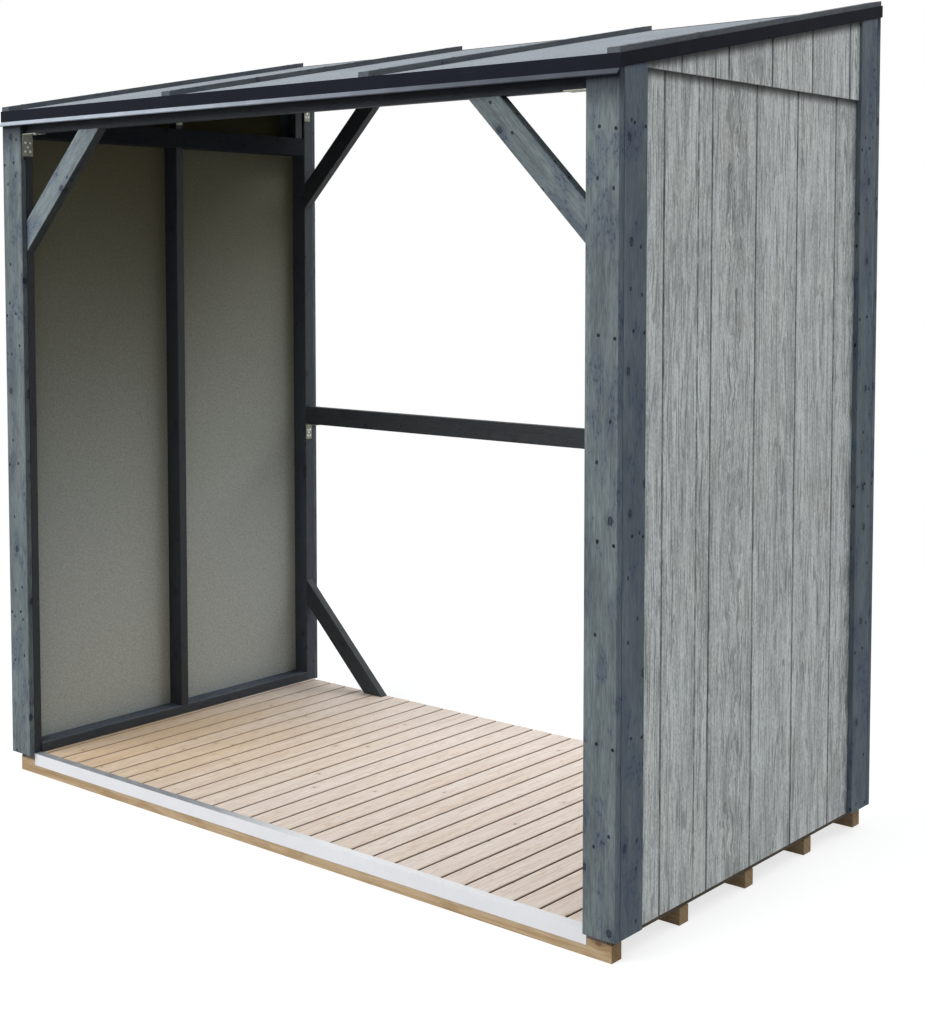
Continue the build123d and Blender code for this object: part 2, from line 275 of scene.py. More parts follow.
class Nodes:
    """A tree of shader nodes, with short ways to add them and wire them together."""

    def __init__(self, tree):
        self.tree = tree

    def node(self, kind, inputs=None, **settings):
        """Adds a node, sets it up and feeds its inputs, given by name or number."""
        made = self.tree.nodes.new("ShaderNode" + kind)
        for key, value in settings.items():
            setattr(made, key, value)
        for key, source in (inputs or {}).items():
            self.feed(made.inputs[key], source)
        return made

    def feed(self, target, source):
        """Wires a field to a socket, or sets a plain value or colour on it."""
        if isinstance(source, Field):
            self.tree.links.new(source.socket, target)
        else:
            target.default_value = (*source, 1) if target.type == "RGBA" else source

    def out(self, node, key=0):
        """What a node gives, as a field."""
        return Field(self, node.outputs[key])

    def math(self, operation, *values, clamp=False):
        """The result of one sum on plain numbers or fields."""
        return self.out(self.node("Math", dict(enumerate(values)), operation=operation, use_clamp=clamp))

    def parts(self, vector):
        """The three coordinates of a point."""
        made = self.node("SeparateXYZ", {0: vector})
        return [self.out(made, index) for index in range(3)]

    def looked_at(self):
        """One for rays that see a thing, straight or in a reflection, and nought for rays that only light."""
        path = self.node("LightPath")
        camera, glossy, through = [
            self.out(path, f"Is {kind} Ray") for kind in ("Camera", "Glossy", "Transmission")]
        return self.math("ADD", self.math("ADD", camera, glossy, clamp=True), through, clamp=True)


class Finish(Nodes):
    """One procedural material, with the patterns that its looks are made from."""

    def __init__(self, name):
        self.material = bpy.data.materials.new(name)
        self.material.use_nodes = True
        super().__init__(self.material.node_tree)
        self.shader = self.tree.nodes["Principled BSDF"]
        self.place = self.out(self.node("TexCoord"), "Object")

    def dot(self, vector, direction):
        """How far a point lies along a direction."""
        return self.out(self.node("VectorMath", {0: vector, 1: direction}, operation="DOT_PRODUCT"), "Value")

    def point(self, *values):
        """A point from three coordinates."""
        return self.out(self.node("CombineXYZ", dict(enumerate(values))))

    def mix(self, part, first, second):
        """A colour between two colours."""
        return self.out(self.node("Mix", {0: part, 6: first, 7: second}, data_type="RGBA"), 2)

    def blend(self, part, first, second):
        """A number between two numbers."""
        return self.out(self.node("Mix", {0: part, 2: first, 3: second}, data_type="FLOAT"))

    def dim(self, tone, amount):
        """A colour made darker or lighter by a factor."""
        return self.out(self.node("VectorMath", {0: tone, "Scale": amount}, operation="SCALE"))

    def noise(self, vector, depth=2.0, rough=0.55, scale=1.0):
        """Cloudy noise, from 0 to 1 and mostly near a half."""
        return self.out(self.node(
            "TexNoise", {"Vector": vector, "Scale": scale, "Detail": depth, "Roughness": rough}))

    def grain(self, run, seed, mirrored=False):
        """Distances across and along the grain of a run of timber, shifted by a seed.

        A mirrored pair reads its distance from the middle, and its two halves get different wood."""
        place, shift = self.place, seed
        if mirrored:
            x, y, z = self.parts(place)
            place = self.point(abs(x), y, z)
            shift = (x > 0.0) * 1.73 + seed
        over, forth = RUNS[run]
        return self.dot(place, over) + shift, self.dot(place, forth) + shift * 0.61

    def fibres(self, across, along):
        """A way to draw noise along a grain, on a layer of its own, its patches so wide and so long."""
        def drawn(wide, long, layer, depth=2.0):
            return self.noise(self.point(across / wide, along / long, layer), depth)
        return drawn

    def knots(self, across, along, cell, half, chosen):
        """Distance from the nearest knot in half widths, whether that knot is there, and the part across.

        Each cell of a jittered grid, so wide and long, holds one oval knot, and a chosen share keep theirs."""
        here = self.point(across / cell[0], along / cell[1], 0.0)
        made = self.node("TexVoronoi", {"Vector": here, "Scale": 1.0, "Randomness": 0.8},
                         voronoi_dimensions="2D", feature="F1")
        offset = self.node("VectorMath", {0: here, 1: self.out(made, "Position")}, operation="SUBTRACT")
        over, up, _ = self.parts(self.out(offset))
        over, up = over * (cell[0] / half[0]), up * (cell[1] / half[1])
        chance = self.out(self.node("SeparateColor", {0: self.out(made, "Color")}))
        return self.math("SQRT", over * over + up * up), chance < chosen, over

    def round_knots(self, across, along, knot, reach, push, sway):
        """Fibres that sway along the timber and bend round its knots, out to a reach in half widths.

        Gives a way to draw them, the distance from the nearest knot, whether that knot is there, and its
        halo. The sway has a width, a length, a layer and how far it goes."""
        distance, kept, over = self.knots(across, along, *knot)
        halo = distance.span(reach, 0.9) * kept
        wide, long, layer, most = sway
        swayed = self.fibres(across, along)(wide, long, layer, 1.0) * most
        return self.fibres(across + (swayed + over * push * halo), along), distance, kept, halo

    def cells(self, scale):
        """Packed cells, so many to the metre: distance from a cell's middle, and three chances for each."""
        made = self.node("TexVoronoi", {"Vector": self.place, "Scale": scale},
                         voronoi_dimensions="3D", feature="F1")
        chance = self.node("SeparateColor", {0: self.out(made, "Color")})
        return self.out(made, "Distance"), [self.out(chance, index) for index in range(3)]

    def bump(self, height, depth):
        """Raises the surface by a height from 0 to 1, so many metres at most."""
        made = self.node("Bump", {"Strength": 1.0, "Distance": depth, "Height": height})
        self.feed(self.shader.inputs["Normal"], self.out(made))

    def coat(self, tone, roughness, gloss=0.5):
        """Gives the shader its colour, roughness and gloss."""
        for key, source in (("Base Color", tone), ("Roughness", roughness), ("Specular IOR Level", gloss)):
            self.feed(self.shader.inputs[key], source)
        return self.material


def stained_timber(name, run, seed, mirrored=False, tone=1.0, blue=0.0, sheen=0.5,
                   left_tone=None, side_face=None, eave=None, painted_light_above=None, under=None):
    """Slate stain on softwood: flowing rings, short fibres, blue blotches, round knots, pin marks.

    Past side_face the stain is as on the side walls, painted lighter and bluer there as painted light, and
    painted shade darkens it up to the height of the eave.
    The left one of a pair can be painted lighter than the right one, as painted light. A top face above a
    given height is painted lighter, as painted light.
    The underside of a pair of braces, up to the slanting level given as under, is painted darker as shade."""
    look = bpy.context.scene.log_store.stain
    wood = Finish(name)
    x, _, z = wood.parts(wood.place)
    across, along = wood.grain(run, seed, mirrored)
    straight = wood.fibres(across, along)
    wide = look.knot_width
    bent, ring, kept, halo = wood.round_knots(
        across, along, ((0.070, 0.26), (wide, wide * 1.35), 0.62), 3.2, -0.55 * wide, (0.09, 0.55, 3.1, 0.016))
    ragged = straight(0.004, 0.006, 21.0) * 1.5 + (ring - 0.75)
    cloud = bent(0.040, 0.30, 0.7, 3.0).span(0.30, 0.70)
    rings = wood.math("SINE", bent(0.050, 0.85, 5.2, 1.0) * 62.0)
    short = bent(0.0024, 0.028, 8.4)
    fibre = bent(0.0013, 0.110, 17.7)
    blotch = straight(0.045, 0.11, 11.6).span(0.49, 0.66)
    dash = bent(0.0046, 0.016, 14.9, 1.0).span(0.56, 0.64)
    streaks = rings * 0.045 + short.span(0.28, 0.72, 0.80, 1.20) + fibre.span(0.28, 0.72, -0.13, 0.13)
    body = wood.dim(wood.mix(cloud, look.deep, look.light), streaks)
    # Painted light: past side_face, the face turned to the side gets a bluer, lighter copy of the stain.
    if side_face is not None:
        beyond = abs(x) > side_face
        blue = beyond * look.side_blue
        tone = beyond * (look.side_tone - tone) + tone
    body = wood.mix(wood.math("ADD", blotch * 0.46, blue, clamp=True), body, look.bruise)
    body = wood.mix(dash * blotch * 0.65, body, look.knot)
    body = wood.mix(halo * 0.22, body, look.knot)
    rim = abs(ragged - 0.75).span(0.42, 0.12) * kept
    heart = ragged.span(1.0, 0.6, 0.0, 0.84) * kept
    body = wood.mix(wood.math("MAXIMUM", heart, rim * 0.94), body, look.knot)
    pin, pinned, _ = wood.knots(across, along, (0.040, 0.120), (0.0038, 0.0050), 0.34)
    pin = straight(0.0026, 0.003, 24.0, 1.0) * 0.9 + (pin - 0.45)
    prick = pin.span(1.25, 0.75) * pinned
    body = wood.mix(prick * 0.92, body, look.mark)
    # Painted shade: the board darkens towards the trim above it.
    if eave is not None:
        body = wood.mix(z.span(eave - 0.085, eave, 0.0, 0.82), body, look.mark)
    # Painted light: the left one of the pair gets a lighter copy of the stain.
    if left_tone is not None:
        tone = (x < 0.0) * (left_tone - tone) + tone
    # Painted shade: the braces' underside gets a much darker copy of the stain.
    if under is not None:
        tone = tone * (1.0 - ((abs(x) + z) * HALF_SQUARE < under) * 0.72)
    # Painted light: the top face above this height gets a lighter copy of the stain.
    if painted_light_above is not None:
        tone = (z > painted_light_above) * (0.85 - tone) + tone
    if tone != 1:
        body = wood.dim(body, tone)
    wood.bump(short * 0.6 + fibre * 0.4 - prick * 0.6, look.relief)
    return wood.coat(body, short.span(0.3, 0.7, 0.72, 0.58), sheen)


def pressed_panel(name, first_joint, skin, seed, top_shade, cover):
    """Painted pressed panel: flowing growth rings, hairline checks, grime in the joints, fibreboard behind.

    Every third plank has curled and smudged grain along its middle. A painted shadow lies under the edge that
    covers the panel's top: cover gives that edge's height at y = 0 and its slope. The fifth argument is how
    much painted shade darkens the fibreboard towards the top; it is also painted darker beside the studs and
    up in the gable."""
    look = bpy.context.scene.log_store.panel
    wall = Finish(name)
    x, y, z = wall.parts(wall.place)
    beat = (y - first_joint) / look.pitch
    plank = wall.math("FLOOR", beat)
    across, along = plank * 1.37 + (y + seed), plank * 0.83 + (z + seed)
    straight = wall.fibres(across, along)
    figured = wall.math("COMPARE", wall.math("FLOORED_MODULO", plank, 3.0), 1.0, 0.1)
    heart = figured * abs(beat - plank - 0.55).span(0.36, 0.10)
    curl = straight(0.034, 0.060, 27.3) - 0.5
    smudge = heart * straight(0.055, 0.085, 31.4).span(0.46, 0.66)
    bent = wall.fibres(straight(0.050, 0.42, 2.2) * 0.024 + across + curl * 0.034 * heart, along)
    patchy = wall.math("MAXIMUM", bent(0.030, 0.16, 15.2).span(0.36, 0.60), heart)
    rings = wall.math("SINE", bent(0.070, 1.10, 4.1) * 150.0).span(0.40, 0.95) * patchy
    hairs = bent(0.0030, 0.120, 6.3)
    checks = bent(0.0036, 0.110, 9.5).span(0.58, 0.65)
    pores = straight(0.0032, 0.0085, 18.4)
    broad = bent(0.026, 0.45, 12.8, 3.0)
    cast = straight(0.070, 0.22, 22.6).span(0.35, 0.65)
    streaks = broad.span(0.30, 0.70, 0.81, 1.15) + (
        hairs.span(0.30, 0.70, -0.14, 0.14) + pores.span(0.30, 0.70, -0.18, 0.18))
    body = wall.dim(wall.mix(cast, look.paint, look.cool), streaks)
    body = wall.mix(rings * 0.55, body, look.shade)
    body = wall.mix(checks * 0.72, body, look.shade)
    body = wall.dim(body, 1.0 - smudge * 0.26)

    grimy = wall.fibres(plank, z)
    off_joint = abs(beat - wall.math("ROUND", beat)) * look.pitch
    grime = grimy(0.3, 0.10, 3.3, 3.0).span(0.30, 0.65, 0.45, 0.92)
    body = wall.mix(off_joint.span(0.0050, 0.0018) * grime, body, look.groove_grime_and_lap_shadow)
    off_line = abs(y - (first_joint + ODD_LINE))
    broken = grimy(0.3, 0.045, 7.7).span(0.36, 0.56, 0.35, 0.90)
    body = wall.mix(off_line.span(0.0048, 0.0018) * broken, body, look.groove_grime_and_lap_shadow)
    # Painted shadow under the edge that covers the panel: the lap of the gable, or the verge.
    edge, slope = cover
    below = y * slope + edge - z
    body = wall.mix(below.span(0.029, 0.002, 0.0, 0.90), body, wall.dim(look.groove_grime_and_lap_shadow, 0.5))

    fleck = wall.noise(wall.place, 2.0, 0.6, 420.0)
    cloud = wall.noise(wall.place, 4.0, 0.75, 130.0)
    fibre = wall.mix(fleck.span(0.36, 0.62), look.fibre_dark, look.fibre)
    # Painted shade: the fibreboard darkens to olive towards the top.
    top_shade_share = y.span(-0.1, 0.1, top_shade + 0.05, top_shade - 0.04)
    fibre = wall.mix(z.span(0.4, 2.0, 0.0, top_shade_share), fibre, look.fibre_shade)
    # Painted shade: the fibreboard darkens beside the studs.
    off_stud = wall.math("PINGPONG", y + 0.0025, 0.29)
    fibre = wall.mix(off_stud.span(0.075, 0.012, 0.0, 0.32), fibre, look.fibre_shade)
    # Cloudy tone variation, and painted shade that darkens the fibreboard strongly up in the gable.
    fibre = wall.dim(fibre, cloud.span(0.3, 0.7, 0.90, 1.10) * z.span(1.97, 2.06, 1.0, 0.35))

    inside = abs(x) < skin
    raised = hairs * 0.45 + pores * 0.2 - (checks * 0.35 + rings * 0.40)
    wall.bump(wall.blend(inside, raised, fleck * 0.22), look.relief)
    return wall.coat(wall.mix(inside, body, fibre), inside * 0.26 + 0.62, 0.3)


def planed_floor(name):
    """Planed pine boards: each its own tone, fine grain, a few knots, painted warmer towards the left wall as
    painted shade.
    """
    look = bpy.context.scene.log_store.floor
    wood = Finish(name)
    x, y, z = wood.parts(wood.place)
    board = wood.math("FLOOR", (x + look.start) / look.pitch)
    chance = wood.out(wood.node("TexWhiteNoise", {"W": board}, noise_dimensions="1D"), "Value")
    across, along = board * 0.91 + x, chance * 7.3 + y
    bent, ring, kept, halo = wood.round_knots(
        across, along, ((0.052, 0.36), (0.0046, 0.0058), 0.33), 4.0, -0.0028, (0.06, 0.9, 1.4, 0.020))
    lines = bent(0.0055, 0.30, 3.8)
    fine = bent(0.0014, 0.09, 6.7, 1.0)
    fleck = bent(0.0075, 0.040, 11.3).span(0.52, 0.68)
    patch = bent(0.030, 0.45, 9.1)
    # Painted shade: warmer towards the left wall, most near the front.
    shaded = x.span(-0.05, -1.0, 0.0, 0.85) * y.span(0.50, -0.20, 0.20, 1.0)
    varied = chance * y.span(0.50, 0.10, 0.04, 0.22) + patch.span(0.3, 0.7, -0.12, 0.12)
    warmth = wood.math("ADD", shaded, varied, clamp=True)
    body = wood.mix(warmth, look.pale, look.warm)
    late = wood.math("MAXIMUM", lines.span(0.50, 0.68, 0.0, 0.45), fleck * (warmth * 0.30 + 0.34))
    body = wood.mix(late, body, look.grain)
    body = wood.dim(body, fine.span(0.28, 0.72, 0.90, 1.10))
    body = wood.mix(halo * 0.16, body, look.knot)
    body = wood.mix(ring.span(1.15, 0.8) * kept * 0.72, body, look.knot)
    off_gap = wood.math("PINGPONG", x + look.start, look.pitch / 2)
    body = wood.mix(off_gap.span(0.0060, 0.0030, 0.0, 0.55), body, look.knot)
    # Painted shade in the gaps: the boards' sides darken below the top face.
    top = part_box("floor_boards")[1].z
    body = wood.mix(z.span(top - 0.0008, top - 0.0022, 0.0, 0.92), body, look.edge)
    wood.bump(lines * 0.6 + fine * 0.4, 0.0004)
    return wood.coat(body, lines.span(0.3, 0.7, 0.62, 0.50))


def sawn_bearer(name, tone=1.0, run="lengthwise"):
    """Tan sawn softwood: broad and fine bands along the run, brown knots, ringed ends, a rough face."""
    look = bpy.context.scene.log_store.bearer
    wood = Finish(name)
    x, y, z = wood.parts(wood.place)
    across, along = wood.grain(run, 0.4)
    bent, ring, kept, halo = wood.round_knots(
        across, along, ((0.055, 0.42), (0.0062, 0.0085), 0.5), 3.6, -0.004, (0.05, 0.7, 2.7, 0.022))
    bands = bent(0.0075, 0.60, 4.4, 3.0)
    fine = bent(0.0018, 0.08, 7.9)
    body = wood.mix(bands.span(0.40, 0.68), look.sapwood, look.heartwood)
    body = wood.mix(0.62, look.sapwood, body)
    body = wood.mix(bent(0.05, 0.13, 12.1, 3.0).span(0.48, 0.68, 0.0, 0.45), body, look.heartwood)
    body = wood.dim(body, fine.span(0.25, 0.75, 0.86, 1.14))
    end = abs(x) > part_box("bearers")[1].x - ON_FACE
    over, up = wood.math("FRACT", y * 3.3) - 0.35, z + 0.03
    rings = wood.math("SINE", wood.math("SQRT", over * over + up * up) * 1500.0)
    body = wood.mix(end * (rings * 0.22 + 0.45), body, look.heartwood)
    body = wood.mix(halo * 0.25, body, look.knot)
    body = wood.mix(ring.span(1.1, 0.85) * kept * 0.8, body, look.knot)
    if tone != 1:
        body = wood.dim(body, tone)
    wood.bump(bands * 0.5 + fine * 0.5, 0.0008)
    return wood.coat(body, fine.span(0.3, 0.7, 0.82, 0.70))


def mineral_felt(name):
    """Roofing felt: packed granules in two tones over slow weathering."""
    look = bpy.context.scene.log_store.roof
    felt = Finish(name)
    distance, chance = felt.cells(1 / look.granule)
    weather = felt.noise(felt.place, 3.0, 0.6, 3.2)
    body = felt.mix(chance[0].span(0.74, 0.92, 0.0, 0.65), look.felt, look.felt_dark)
    body = felt.dim(body, weather.span(0.3, 0.7, 0.94, 1.06) + (chance[1] * 0.16 - 0.08))
    felt.bump(1.0 - distance, 0.0007)
    return felt.coat(body, chance[2] * 0.10 + 0.86, 0.08)


def deck_boards(name):
    """Deck boards from below: dim wood with grain along the store and dark seams."""
    look = bpy.context.scene.log_store.roof
    wood = Finish(name)
    across, along = wood.grain("lengthwise", 2.3)
    straight = wood.fibres(across, along)
    off_middle = abs(wood.math("FRACT", across / look.board) - 0.5)
    bands = straight(0.010, 0.60, 2.0, 3.0)
    fine = straight(0.0022, 0.10, 5.0)
    streaks = bands.span(0.3, 0.7, 0.80, 1.15) + fine.span(0.3, 0.7, -0.08, 0.08)
    body = wood.dim(wood.dim(look.deck, streaks), off_middle.span(0.46, 0.485, 1.0, 0.35))
    wood.bump(fine * 0.4 + off_middle.span(0.49, 0.46, 0.0, 0.6), 0.0012)
    return wood.coat(body, fine.span(0.3, 0.7, 0.86, 0.74))


def coated_sheet(name, roughness, hem_below=None):
    """Dark coated sheet steel: a faint roller texture, dust and fine scratches.

    A hem below a height is painted a pale zinc tone as a painted reflection, which fades towards the
    right-hand end."""
    look = bpy.context.scene.log_store.trim
    sheet = Finish(name)
    x, y, z = sheet.parts(sheet.place)
    dust = sheet.noise(sheet.place, 3.0, 0.6, 14.0)
    dusting = dust.span(0.3, 0.7, 0.90, 1.10)
    scratch = sheet.fibres(y + z, x)(0.0012, 0.11, 4.0, 1.0).span(0.70, 0.76)
    body = sheet.mix(scratch * 0.04, sheet.dim(look.dark, dusting), look.scratch)
    # Painted reflection on the hem, strongest at the left and fading to the right.
    if hem_below is not None:
        painted_reflection = (z < hem_below) * x.span(0.95, -0.75, 0.18, 1.0)
        body = sheet.mix(painted_reflection, body, sheet.dim(look.hem, dusting))
    sheet.bump(sheet.noise(sheet.place, 1.0, 0.5, 700.0), 0.00008)
    return sheet.coat(body, dust.span(0.3, 0.7, roughness - 0.05, roughness + 0.07), 0.04)


def threshold_sheet(name):
    """White coated angle whose top face is a darker grey, most towards the left."""
    look = bpy.context.scene.log_store.trim
    sheet = Finish(name)
    x, y, z = sheet.parts(sheet.place)
    dust = sheet.noise(sheet.place, 3.0, 0.6, 9.0)
    # The top face turns a darker grey, more so towards the left.
    worn = (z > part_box("threshold_trim")[1].z - 0.0004) * x.span(0.25, -0.40)
    face = sheet.dim(look.white, dust.span(0.3, 0.7, 0.975, 1.02))
    top_mottle = sheet.fibres(y, x)(0.004, 0.05, 2.0).span(0.35, 0.65, 0.8, 1.25)
    sheet.bump(sheet.noise(sheet.place, 1.0, 0.5, 600.0), 0.00006)
    return sheet.coat(sheet.mix(worn, face, sheet.dim(look.top_grey, top_mottle)), dust.span(0.3, 0.7, 0.42, 0.52))


def zinc_sheet(name, tone):
    """Galvanised steel: spangled crystals a few millimetres across, satin."""
    zinc = Finish(name)
    _, chance = zinc.cells(190.0)
    zinc.feed(zinc.shader.inputs["Metallic"], 0.5)
    zinc.bump(zinc.noise(zinc.place, 2.0, 0.5, 300.0), 0.0001)
    return zinc.coat(zinc.dim(tone, chance[0] * 0.30 + 0.82), chance[1] * 0.20 + 0.42)


def stained_steel(name):
    """Steel nail heads stained over with their boards, with worn flecks."""
    look = bpy.context.scene.log_store.fixing
    steel = Finish(name)
    fleck = steel.noise(steel.place, 2.0, 0.6, 900.0)
    steel.bump(fleck, 0.0002)
    body = steel.dim(look.steel, fleck.span(0.35, 0.7, 0.7, 1.6))
    return steel.coat(body, fleck.span(0.3, 0.7, 0.6, 0.4), 0.15)


def dress(nodes, material):
    """Puts a finished material on CAD nodes."""
    for node in nodes:
        for slot in frame["nodes"][node].material_slots:
            slot.material = material


def stain(node, run, seed, **how):
    """Stains one CAD node along its run."""
    dress([node], stained_timber(f"slate_stain_{node}", run, seed, **how))


def spread(x, y, z):
    """Points, one to a row, from arrays or numbers for their three coordinates."""
    return np.stack(np.broadcast_arrays(x, y, z), axis=-1).reshape(-1, 3)


def wrapped(rows, count):
    """Faces between neighbouring rings of a grid: points k and k + 1 of a ring and the two above them."""
    row, step = np.meshgrid(np.arange(rows - 1) * count, np.arange(count), indexing="ij")
    after = (step + 1) % count
    corners = [row + step, row + after, row + count + after, row + count + step]
    return np.stack(corners, axis=-1).reshape(-1, 4)


def turned_head(radius, rise, sink, spokes=10):
    """One nail head as points, quads and triangles, standing on z = 0.

    A point at angle a on row s of the profile is (r(s) cos a, r(s) sin a, h(s)): the profile climbs from a
    point sunk in the wood, out along the sunk face, up the rim and over a shallow dome to a point on top."""
    reach = np.array([1.0, 1.0, 0.93, 0.62])[:, None] * radius
    height = np.array([-sink, 0.35 * rise, 0.72 * rise, 0.95 * rise])[:, None]
    around = np.arange(spokes)
    turn = around * (2 * np.pi / spokes)
    rows = spread(reach * np.cos(turn), reach * np.sin(turn), height)
    points = np.concatenate([rows, [[0, 0, -sink], [0, 0, rise]]])
    foot, crown = np.full(spokes, len(rows)), np.full(spokes, len(rows) + 1)
    beyond = (around + 1) % spokes
    last = len(rows) - spokes
    fans = np.concatenate([np.stack([beyond, around, foot], axis=-1),
                           np.stack([last + around, last + beyond, crown], axis=-1)])
    return points, wrapped(len(reach), spokes), fans


def eased_strip(sign, width, height, run, ease=0.0012, rows=13):
    """A strip of timber along y: an oblong section with eased corners, carried from one end to the other.

    Point k of section row j is (sign X(k), Y(j), Z(k)): X and Z walk round the oblong, cutting each corner
    by the ease. The faces of a strip on the left are turned round, because it is a mirror image."""
    (left, right), (low, high) = width, height
    x = np.array([left + ease, right - ease, right, right, right - ease, left + ease, left, left])
    z = np.array([low, low, low + ease, high - ease, high, high, high - ease, low + ease])
    y = np.linspace(*run, rows)
    count = len(x)
    order = slice(None, None, int(sign))
    ends = np.arange(count), np.arange(count)[::-1] + (rows - 1) * count
    faces = wrapped(rows, count)[:, ::-1][:, order].tolist() + [end[order].tolist() for end in ends]
    return spread(sign * x, y[:, None], z), faces


def nail_heads(centres, facing, radius, rise, sink):
    """Nail heads at many places: each is the turned head, its z axis along the face's normal."""
    points, quads, fans = turned_head(radius, rise, sink)
    normal = np.broadcast_to(np.asarray(facing, dtype=float), centres.shape)
    helper = np.where(np.abs(normal[:, :1]) > 0.7, [[0.0, 1.0, 0.0]], [[1.0, 0.0, 0.0]])
    first = np.cross(helper, normal)
    first /= np.linalg.norm(first, axis=1, keepdims=True)
    turn = np.stack([first, np.cross(normal, first), normal], axis=1)
    placed = centres[:, None] + np.einsum("pk,nkc->npc", points, turn)
    step = np.arange(len(centres))[:, None, None] * len(points)
    faces = (quads + step).reshape(-1, 4).tolist() + (fans + step).reshape(-1, 3).tolist()
    return placed.reshape(-1, 3), faces


def new_mesh(name, points, faces, material):
    """Makes a mesh object in place, with its material."""
    mesh = bpy.data.meshes.new(name)
    mesh.from_pydata(points, [], faces)
    mesh.update()
    mesh.materials.append(material)
    made = bpy.data.objects.new(name, mesh)
    bpy.context.scene.collection.objects.link(made)
    return made


def new_piece(name, surface, material):
    """Makes a piece from its points and faces, and lets it ride on the store."""
    piece = new_mesh(name, *surface, material)
    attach(piece, "root")
    return piece


class LOGSTORE_OT_corner_boards(bpy.types.Operator):
    """Stain the boards that wrap the four corners"""

    bl_idname = "log_store.corner_boards"
    bl_label = "Corner boards"

    def execute(self, context):
        look = context.scene.log_store.stain
        for index, node in enumerate(CORNER_BOARDS):
            # Side boards get the bluer, lighter copy of the stain as painted light; front and back boards get
            # painted shade under their trim.
            if node.startswith("side"):
                how = {"tone": look.side_tone, "blue": look.side_blue}
            else:
                trim = "eave_trim" if node.startswith("front") else "back_trim"
                how = {"tone": look.front_tone, "side_face": BOARD_FACE, "eave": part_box(trim)[0].z}
            stain(node, "upright", 0.31 + 0.77 * index, sheen=look.sheen, **how)
        return {"FINISHED"}


class LOGSTORE_OT_wall_frames(bpy.types.Operator):
    """Stain the posts, studs, rails and rafters behind the walls"""

    bl_idname = "log_store.wall_frames"
    bl_label = "Wall frames"

    def execute(self, context):
        # The frame tone is painted shade: the timbers under the roof get a darker copy of the stain.
        tone = context.scene.log_store.stain.frame
        for index, node in enumerate(WALL_UPRIGHTS):
            # The back posts carry less of the frame's painted shade.
            lift = 2.3 if node.startswith("back_post") else 1.0
            stain(node, "upright", 5.17 + 0.53 * index, blue=WALL_BLUE, tone=lift * tone)
        for index, node in enumerate(WALL_RAILS):
            if node.startswith("top_rail"):
                how = {"tone": tone, "sheen": 0.1}
            else:
                # The bottom rail is painted lighter than the other frame timbers, and its top face lighter
                # still: painted light.
                how = {"tone": 1.8 * tone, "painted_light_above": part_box(node)[1].z - ON_FACE}
            stain(node, "front_to_back", 11.29 + 0.59 * index, blue=WALL_BLUE, **how)
        for index, node in enumerate(GABLE_RAFTERS):
            stain(node, "pitched", 15.41 + 0.61 * index, blue=CROSS_BLUE, tone=tone)
        return {"FINISHED"}


class LOGSTORE_OT_cross_timbers(bpy.types.Operator):
    """Stain the headers, purlin and back rail that run the length of the store"""

    bl_idname = "log_store.cross_timbers"
    bl_label = "Cross timbers"

    def execute(self, context):
        for index, node in enumerate(CROSS_TIMBERS):
            # The frame tone's painted shade also darkens these timbers.
            stain(node, "lengthwise", 18.23 + 0.67 * index, blue=CROSS_BLUE,
                  tone=context.scene.log_store.stain.frame, sheen=0.2 if node == "front_header" else 0.5)
        return {"FINISHED"}


class LOGSTORE_OT_braces(bpy.types.Operator):
    """Stain the diagonal braces along their own grain"""

    bl_idname = "log_store.braces"
    bl_label = "Braces"

    def execute(self, context):
        look = context.scene.log_store.stain
        low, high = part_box("front_braces")
        # The left brace is painted lighter as painted light, and the underside of both is painted dark as
        # shade.
        stain("front_braces", "rising_inwards", 22.7, mirrored=True, tone=look.front_tone, sheen=look.sheen,
              left_tone=1.5 * look.front_tone, under=(high.x + low.z) * HALF_SQUARE + 0.0008)
        for node, run, seed in (("back_upper_braces", "rising_inwards", 23.41),
                                ("back_lower_braces", "rising_outwards", 24.12)):
            # The frame tone's painted shade also darkens the back braces.
            stain(node, run, seed, mirrored=True, tone=look.frame, blue=CROSS_BLUE)
        return {"FINISHED"}


class LOGSTORE_OT_wall_panels(bpy.types.Operator):
    """Finish the pressed side walls and gables"""

    bl_idname = "log_store.wall_panels"
    bl_label = "Wall panels"

    def execute(self, context):
        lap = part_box("gable_panel_right")[0].z
        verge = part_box("verge_trims")[0]
        under_verge = verge.z - verge.y * ROOF_SLOPE
        for index, side in enumerate(SIDES):
            dress([f"side_panel_{side}"], pressed_panel(
                f"grey_siding_wall_{side}", WALL_JOINT, WALL_SKIN,
                seed=0.9 + 2.1 * index, top_shade=0.78, cover=(lap, 0.0)))
            dress([f"gable_panel_{side}"], pressed_panel(
                f"grey_siding_gable_{side}", GABLE_JOINT, GABLE_SKIN,
                seed=6.3 + 2.3 * index, top_shade=0.95, cover=(under_verge, ROOF_SLOPE)))
        return {"FINISHED"}


class LOGSTORE_OT_sole_strips(bpy.types.Operator):
    """Lay the dark packing strips that the side walls stand on"""

    bl_idname = "log_store.sole_strips"
    bl_label = "Sole strips"

    def execute(self, context):
        tone = context.scene.log_store.bearer.strip
        bearer_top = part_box("bearers")[1].z
        for side, sign in SIDES.items():
            low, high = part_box(f"side_panel_{side}")
            inner = min(abs(low.x), abs(high.x)) + STRIP_INSET
            strip = eased_strip(sign, (inner, inner + STRIP_WIDTH), (bearer_top, low.z), (low.y, high.y))
            wood = sawn_bearer(f"tan_softwood_sole_strip_{side}", tone, "front_to_back")
            new_piece(f"sole_strip_{side}", strip, wood)
        return {"FINISHED"}


class LOGSTORE_OT_floor(bpy.types.Operator):
    """Finish the floor boards"""

    bl_idname = "log_store.floor"
    bl_label = "Floor boards"

    def execute(self, context):
        dress(["floor_boards"], planed_floor("pale_pine_floor"))
        return {"FINISHED"}


